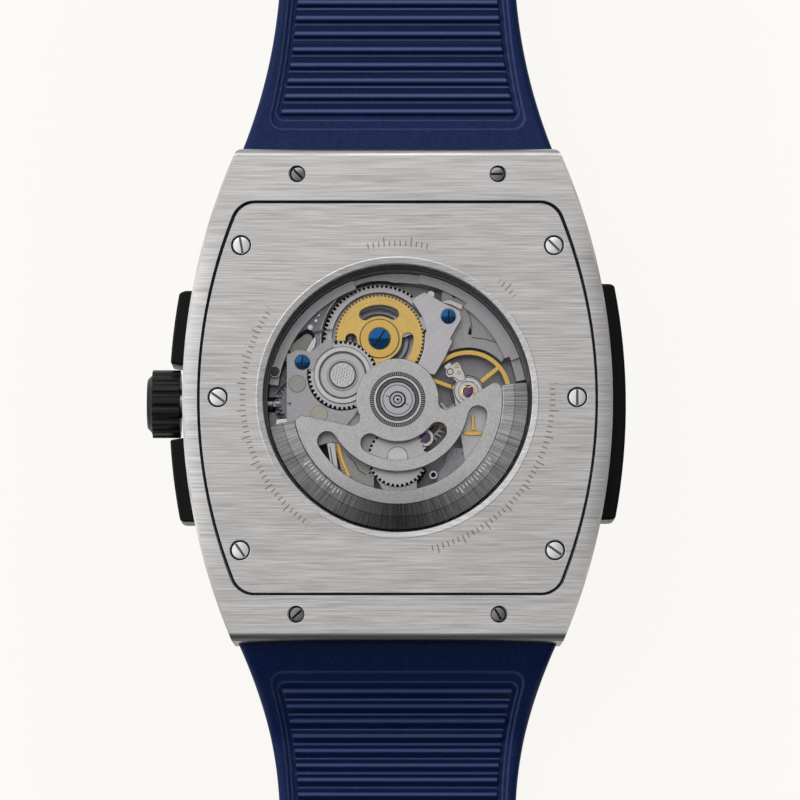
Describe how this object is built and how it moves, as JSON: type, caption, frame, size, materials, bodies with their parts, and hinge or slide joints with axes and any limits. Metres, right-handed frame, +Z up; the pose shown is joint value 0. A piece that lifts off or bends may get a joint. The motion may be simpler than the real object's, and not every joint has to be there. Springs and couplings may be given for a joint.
{
  "type": "automatic wristwatch",
  "caption": "Barrel-shaped steel automatic wristwatch with a glass back over its rotor and going train, black side guards and crown, and a ribbed rubber strap with a pin buckle.",
  "frame": {"origin": "centre of the outer face of the front glass, on which the watch rests", "axes": "+Z up out of the glass back, +Y towards twelve o'clock along the strap, crown on the -X side"},
  "size_m": [0.0476, 0.2506, 0.0132],
  "materials": {
    "steel": "brushed and bevelled",
    "steel_screw": "turned",
    "dark_screw": "dark turned",
    "blued": "heat blued, polished",
    "clear_glass": "polished mineral glass",
    "seal": "matt",
    "black_guard": "black, fine grained",
    "black_crown": "black coated",
    "nickel": "nickel plated",
    "dark_ring": "dark grey",
    "gilt": "gilt",
    "ruby": "polished stone",
    "spring_steel": "polished strip",
    "rotor_plate": "grained",
    "rotor_weight": "radially brushed tungsten",
    "dial_blue": "sunburst lacquer",
    "bright": "polished",
    "red": "lacquer",
    "strap_blue": "fine grained silicone rubber",
    "buckle_steel": "brushed"
  },
  "bodies": {
    "case": {"case_middle": "steel", "bezel": "steel", "bezel_screws": "dark_screw", "front_crystal": "clear_glass", "crystal_gasket": "seal", "case_back": "steel", "case_back_screws": "steel_screw", "back_crystal": "clear_glass", "back_gasket": "seal", "strap_screws": "dark_screw", "side_guard": "black_guard", "crown_guards": "black_guard", "crown_tube": "nickel", "movement_ring": "dark_ring", "main_plate": "nickel", "train_bridge": "nickel", "barrel_bridge": "nickel", "balance_cock": "nickel", "bridge_screws": "blued", "jewels": "ruby", "hairspring": "spring_steel", "regulator": "gilt", "rotor_bearing": "nickel", "dial": "dial_blue", "hour_marks": "bright", "strap_buckle_root": "strap_blue", "strap_holes_root": "strap_blue"},
    "barrel": {"mainspring_barrel": "nickel", "mainspring": "spring_steel"},
    "center": {"center_wheel": "gilt", "minute_hand": "bright"},
    "third": {"third_wheel": "gilt"},
    "fourth": {"fourth_wheel": "gilt", "seconds_hand": "red"},
    "escape": {"escape_wheel": "nickel"},
    "hours": {"hour_hand": "bright"},
    "pallet": {"pallet_fork": "nickel"},
    "balance": {"balance_wheel": "gilt"},
    "rotor": {"rotor_plate": "rotor_plate", "rotor_rim": "rotor_weight", "rotor_gear": "nickel"},
    "balls": {"bearing_balls": "spring_steel"},
    "reverser": {"reverser_wheel": "nickel"},
    "idler": {"winding_idler": "nickel"},
    "pinion": {"winding_pinion": "nickel"},
    "crown": {"crown": "black_crown", "winding_stem": "nickel"},
    "crown_wheel": {"crown_wheel": "nickel"},
    "reduction": {"reverser_pinion": "nickel"},
    "ratchet": {"ratchet_wheel": "gilt", "ratchet_screw": "blued"},
    "buckle_strap": {"strap_buckle_mid": "strap_blue"},
    "buckle_strap_end": {"strap_buckle_end": "strap_blue", "keeper_fixed": "strap_blue", "buckle_pin": "buckle_steel"},
    "keeper": {"keeper_free": "strap_blue"},
    "buckle": {"buckle_frame": "buckle_steel"},
    "buckle_tongue": {"buckle_tongue": "buckle_steel"},
    "hole_strap": {"strap_holes_mid": "strap_blue"},
    "hole_strap_end": {"strap_holes_end": "strap_blue"}
  },
  "joints": [
    {"name": "rotor_turn", "type": "hinge", "parent": "case", "child": "rotor", "pos_m": [0, 0, 0.0076], "axis": [0, 0, 1], "continuous": true},
    {"name": "balls_turn", "type": "hinge", "parent": "case", "child": "balls", "pos_m": [0, 0, 0.0076], "axis": [0, 0, 1], "continuous": true},
    {"name": "reverser_turn", "type": "hinge", "parent": "case", "child": "reverser", "pos_m": [-0.00546, 0.00258, 0.0076], "axis": [0, 0, 1], "continuous": true},
    {"name": "idler_turn", "type": "hinge", "parent": "case", "child": "idler", "pos_m": [0, -0.00558, 0.0076], "axis": [0, 0, 1], "continuous": true},
    {"name": "seconds_turn", "type": "hinge", "parent": "case", "child": "fourth", "pos_m": [0, 0, 0.0076], "axis": [0, 0, 1], "continuous": true},
    {"name": "third_turn", "type": "hinge", "parent": "case", "child": "third", "pos_m": [-0.0024, -0.0029, 0.0076], "axis": [0, 0, 1], "continuous": true},
    {"name": "minutes_turn", "type": "hinge", "parent": "case", "child": "center", "pos_m": [0, 0, 0.0076], "axis": [0, 0, 1], "continuous": true},
    {"name": "barrel_turn", "type": "hinge", "parent": "case", "child": "barrel", "pos_m": [-0.0018, 0.0063, 0.0076], "axis": [0, 0, 1], "continuous": true},
    {"name": "escape_turn", "type": "hinge", "parent": "case", "child": "escape", "pos_m": [0.00305, -0.00205, 0.0076], "axis": [0, 0, 1], "continuous": true},
    {"name": "hours_turn", "type": "hinge", "parent": "case", "child": "hours", "pos_m": [0, 0, 0.0076], "axis": [0, 0, 1], "continuous": true},
    {"name": "pallet_rock", "type": "hinge", "parent": "case", "child": "pallet", "pos_m": [0.0049, -0.0007, 0.0066], "axis": [0, 0, 1], "range_deg": [-4, 4]},
    {"name": "balance_swing", "type": "hinge", "parent": "case", "child": "balance", "pos_m": [0.00703, 0.001, 0.0073], "axis": [0, 0, 1], "range_deg": [-270, 270], "stiffness_Nm_per_rad": 0.0000001},
    {"name": "crown_turn", "type": "hinge", "parent": "case", "child": "pinion", "pos_m": [-0.012, 0, 0.0063], "axis": [-1, 0, 0], "continuous": true},
    {"name": "crown_pull", "type": "slide", "parent": "pinion", "child": "crown", "axis": [-1, 0, 0], "range_m": [0, 0.0015]},
    {"name": "crown_wheel_turn", "type": "hinge", "parent": "case", "child": "crown_wheel", "pos_m": [-0.00945, 0, 0.0076], "axis": [0, 0, 1], "continuous": true},
    {"name": "reduction_turn", "type": "hinge", "parent": "case", "child": "reduction", "pos_m": [-0.00546, 0.00258, 0.0076], "axis": [0, 0, 1], "continuous": true},
    {"name": "ratchet_turn", "type": "hinge", "parent": "case", "child": "ratchet", "pos_m": [-0.0018, 0.0063, 0.0076], "axis": [0, 0, 1], "continuous": true},
    {"name": "buckle_strap_bend", "type": "hinge", "parent": "case", "child": "buckle_strap", "pos_m": [0, 0.0388, 0.0055], "axis": [1, 0, 0], "range_deg": [-5, 50], "stiffness_Nm_per_rad": 0.02},
    {"name": "buckle_strap_curl", "type": "hinge", "parent": "buckle_strap", "child": "buckle_strap_end", "pos_m": [0, 0.0688, 0.0055], "axis": [1, 0, 0], "range_deg": [-5, 50], "stiffness_Nm_per_rad": 0.02},
    {"name": "keeper_slide", "type": "slide", "parent": "buckle_strap_end", "child": "keeper", "axis": [0, 1, 0], "range_m": [0, 0.008]},
    {"name": "buckle_swing", "type": "hinge", "parent": "buckle_strap_end", "child": "buckle", "pos_m": [0, 0.1008, 0.0055], "axis": [1, 0, 0], "range_deg": [-60, 60]},
    {"name": "tongue_swing", "type": "hinge", "parent": "buckle", "child": "buckle_tongue", "pos_m": [0, 0.1008, 0.0055], "axis": [-1, 0, 0], "range_deg": [0, 75]},
    {"name": "hole_strap_bend", "type": "hinge", "parent": "case", "child": "hole_strap", "pos_m": [0, -0.036, 0.0015], "axis": [-1, 0, 0], "range_deg": [-5, 50], "stiffness_Nm_per_rad": 0.02},
    {"name": "hole_strap_curl", "type": "hinge", "parent": "hole_strap", "child": "hole_strap_end", "pos_m": [0, -0.068, 0.0015], "axis": [-1, 0, 0], "range_deg": [-5, 50], "stiffness_Nm_per_rad": 0.02}
  ],
  "couplings": [
    {"joint": "balls_turn", "follows": "rotor_turn", "ratio": 0.55},
    {"joint": "reverser_turn", "follows": "rotor_turn", "ratio": -0.81818},
    {"joint": "idler_turn", "follows": "rotor_turn", "ratio": -0.94737},
    {"joint": "third_turn", "follows": "seconds_turn", "ratio": -0.13333},
    {"joint": "minutes_turn", "follows": "seconds_turn", "ratio": 0.016667},
    {"joint": "hours_turn", "follows": "seconds_turn", "ratio": 0.0013889},
    {"joint": "barrel_turn", "follows": "seconds_turn", "ratio": -0.0030702},
    {"joint": "escape_turn", "follows": "seconds_turn", "ratio": -9},
    {"joint": "crown_wheel_turn", "follows": "crown_turn", "ratio": -0.35},
    {"joint": "reduction_turn", "follows": "crown_turn", "ratio": 0.33971},
    {"joint": "ratchet_turn", "follows": "crown_turn", "ratio": -0.066054}
  ]
}
